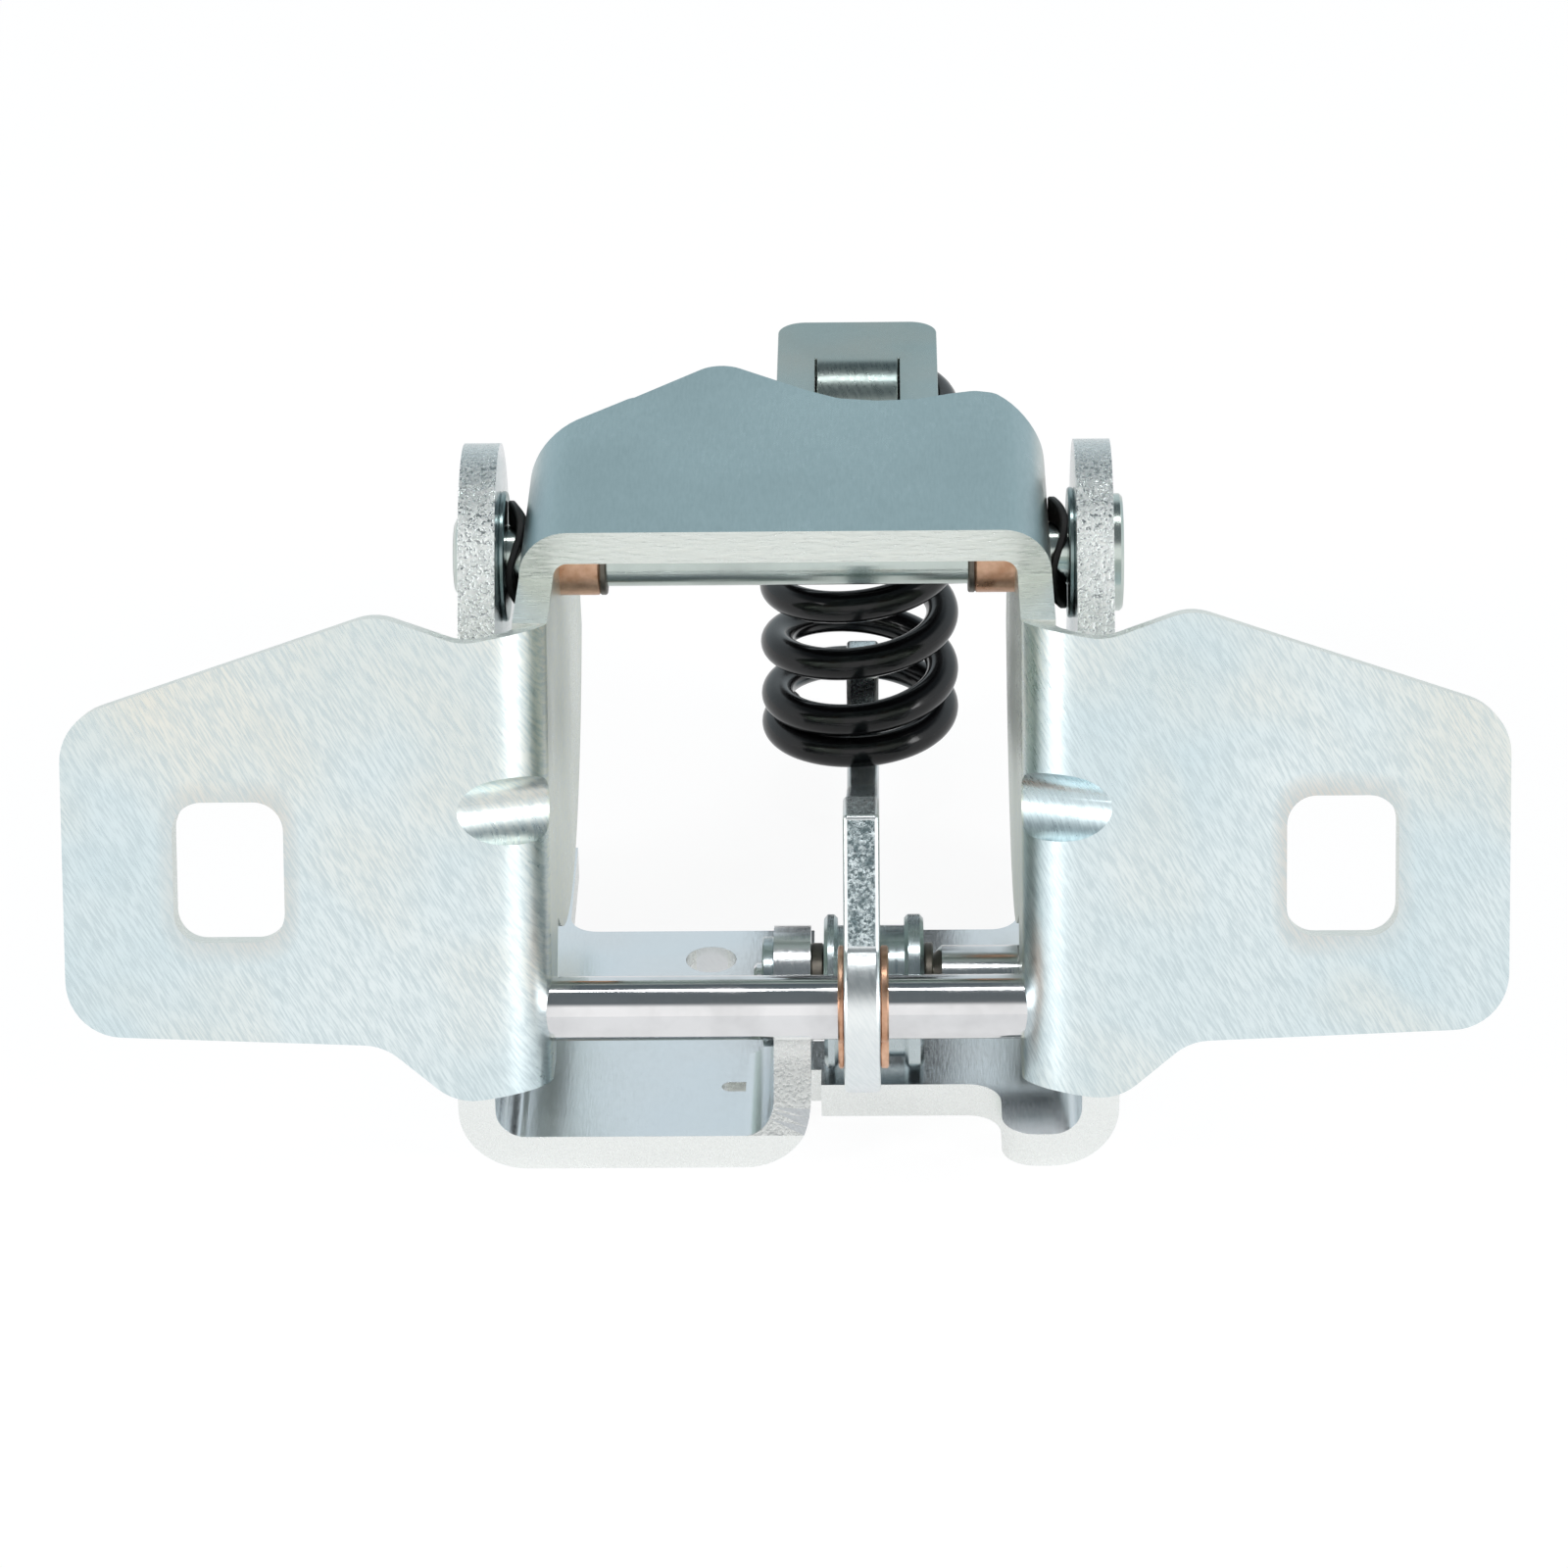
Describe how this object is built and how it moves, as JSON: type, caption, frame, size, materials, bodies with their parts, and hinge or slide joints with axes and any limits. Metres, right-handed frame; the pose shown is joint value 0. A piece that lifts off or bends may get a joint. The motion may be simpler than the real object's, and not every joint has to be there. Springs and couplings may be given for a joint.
{
  "type": "truck door hinge",
  "caption": "Pressed-steel vehicle door hinge: winged leaf and channel leaf on one pin, with a coil spring, check arm and roller that hold the door open.",
  "frame": {"origin": "on the channel leaf's seating face, straight below the middle of the hinge pin", "axes": "+X along the hinge pin towards its head, +Z out of the seating face towards the hinge pin, +Y away from the winged leaf's bolting faces"},
  "size_m": [0.1894, 0.1363, 0.0816],
  "materials": {
    "zinc_leaf": "bright zinc plate, grained",
    "zinc_channel": "bright zinc plate, smooth",
    "zinc_arm": "zinc plate on a sheared edge",
    "pin_steel": "ground and plated",
    "roller_steel": "turned and plated",
    "bronze": "plain bronze",
    "dark_steel": "dark, oiled",
    "black_washer": "matt black",
    "spring_black": "gloss black"
  },
  "bodies": {
    "channel": {"channel_leaf": "zinc_channel", "hinge_pin": "pin_steel", "roller_axle": "pin_steel", "axle_clip": "roller_steel", "roller_washer_left": "dark_steel", "roller_washer_right": "dark_steel", "ear_washer_left": "roller_steel", "ear_washer_right": "roller_steel"},
    "winged_leaf": {"winged_leaf": "zinc_leaf", "cross_pin": "pin_steel", "spring_seat": "zinc_leaf", "check_spring": "spring_black", "pin_bush_left": "bronze", "pin_bush_right": "bronze", "pin_seal_left": "dark_steel", "pin_seal_right": "dark_steel", "thrust_washer_left": "black_washer", "thrust_washer_right": "black_washer"},
    "check_arm": {"check_arm": "zinc_arm", "arm_bush": "bronze"},
    "roller": {"roller": "roller_steel"}
  },
  "joints": [
    {"name": "hinge_pivot", "type": "hinge", "parent": "channel", "child": "winged_leaf", "pos_m": [0, 0, 0.066], "axis": [-1, 0, 0], "range_deg": [0, 38]},
    {"name": "arm_pivot", "type": "hinge", "parent": "winged_leaf", "child": "check_arm", "pos_m": [0, -0.051, 0.0237], "axis": [1, 0, 0], "range_deg": [0, 5], "stiffness_Nm_per_rad": 12, "springref_deg": -2.86, "deforming": ["check_spring"]},
    {"name": "roller_spin", "type": "hinge", "parent": "channel", "child": "roller", "pos_m": [0.0115, -0.034, 0.0162], "axis": [1, 0, 0], "continuous": true}
  ]
}
